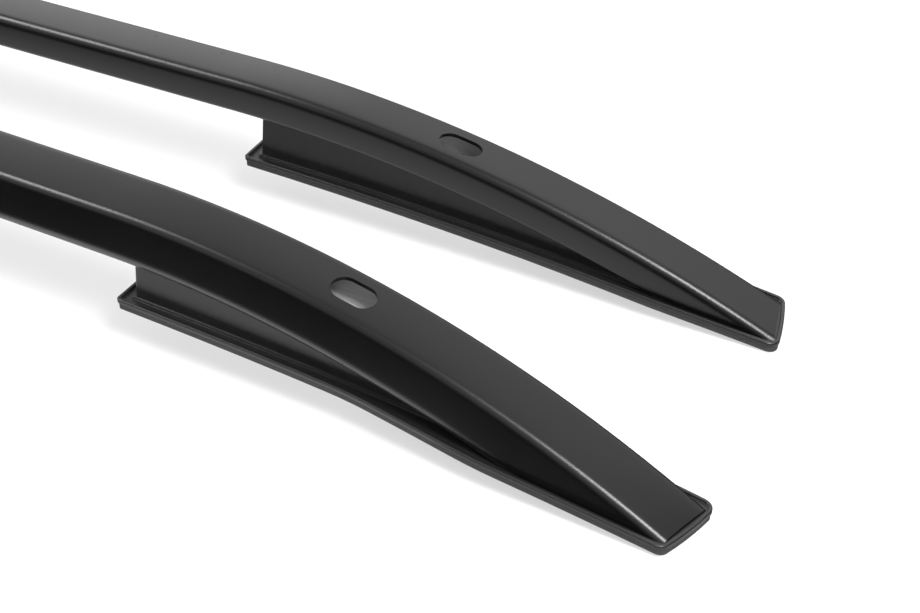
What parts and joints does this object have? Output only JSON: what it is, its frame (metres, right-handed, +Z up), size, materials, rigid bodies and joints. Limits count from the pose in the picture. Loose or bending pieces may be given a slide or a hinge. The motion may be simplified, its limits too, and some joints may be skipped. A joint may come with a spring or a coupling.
{
  "type": "roof side rail pair",
  "caption": "Pair of arched black roof side rails: hollow bent bars with access slots, on moulded feet with rubber gaskets and fixing bolts.",
  "frame": {"origin": "middle of the pair's footprint, on the ground that the tips stand on", "axes": "+X along the rails, +Y from the right rail to the left rail, +Z up"},
  "size_m": [1.6162, 0.2448, 0.097],
  "materials": {
    "bar_paint": "satin black coating",
    "foot_plastic": "fine-grained black moulding",
    "gasket_rubber": "matt dark grey",
    "steel": "zinc plated"
  },
  "bodies": {
    "root": {"right_bar": "bar_paint", "right_front_foot": "foot_plastic", "right_front_gasket": "gasket_rubber", "right_front_bolt": "steel", "right_front_washer": "steel", "right_front_sleeve": "steel", "right_front_foot_screws": "steel", "right_rear_foot": "foot_plastic", "right_rear_gasket": "gasket_rubber", "right_rear_bolt": "steel", "right_rear_washer": "steel", "right_rear_sleeve": "steel", "right_rear_foot_screws": "steel", "left_bar": "bar_paint", "left_front_foot": "foot_plastic", "left_front_gasket": "gasket_rubber", "left_front_bolt": "steel", "left_front_washer": "steel", "left_front_sleeve": "steel", "left_front_foot_screws": "steel", "left_rear_foot": "foot_plastic", "left_rear_gasket": "gasket_rubber", "left_rear_bolt": "steel", "left_rear_washer": "steel", "left_rear_sleeve": "steel", "left_rear_foot_screws": "steel"}
  },
  "joints": []
}
